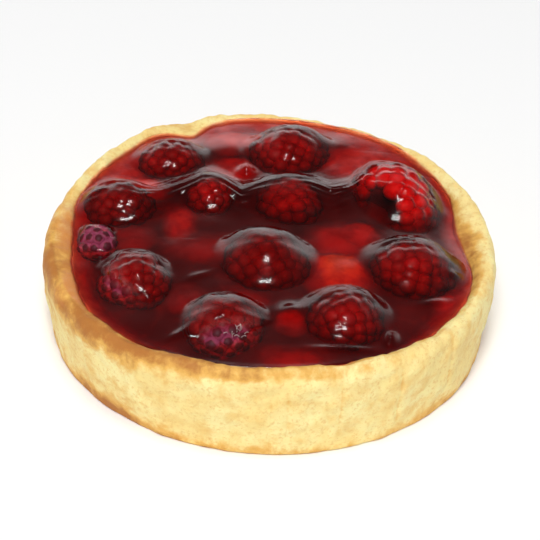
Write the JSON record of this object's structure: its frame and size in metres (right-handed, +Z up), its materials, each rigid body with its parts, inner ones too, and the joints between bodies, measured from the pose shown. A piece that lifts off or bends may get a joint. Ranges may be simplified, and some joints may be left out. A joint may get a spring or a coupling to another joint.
{
  "type": "berry tart",
  "caption": "Round individual tart: a shortcrust case filled with clear red jelly, with whole raspberries half sunk in it and standing proud of the top.",
  "frame": {"origin": "middle of the flat base, at the surface the tart rests on", "axes": "+Z up through the tart; the front of the tart, where the wall was seen, faces -Y"},
  "size_m": [0.1, 0.1, 0.0267],
  "materials": {
    "crust": "baked shortcrust pastry, pale gold, browned along the rim and the bottom edge",
    "jelly": "clear dark red set jelly, wet gloss",
    "raspberry": "raspberry drupelets under a coat of red glaze",
    "dark_berry": "smooth dark red berry under a coat of red glaze"
  },
  "bodies": {
    "root": {"crust": "crust", "jelly": "jelly", "raspberry_back_left": "raspberry", "raspberry_back": "raspberry", "raspberry_left": "raspberry", "raspberry_left_small": "raspberry", "berry_middle_left": "dark_berry", "raspberry_middle": "raspberry", "raspberry_right_back": "raspberry", "raspberry_right": "raspberry", "raspberry_centre": "raspberry", "raspberry_front_left": "raspberry", "raspberry_front": "raspberry", "raspberry_front_right": "raspberry"}
  },
  "joints": []
}
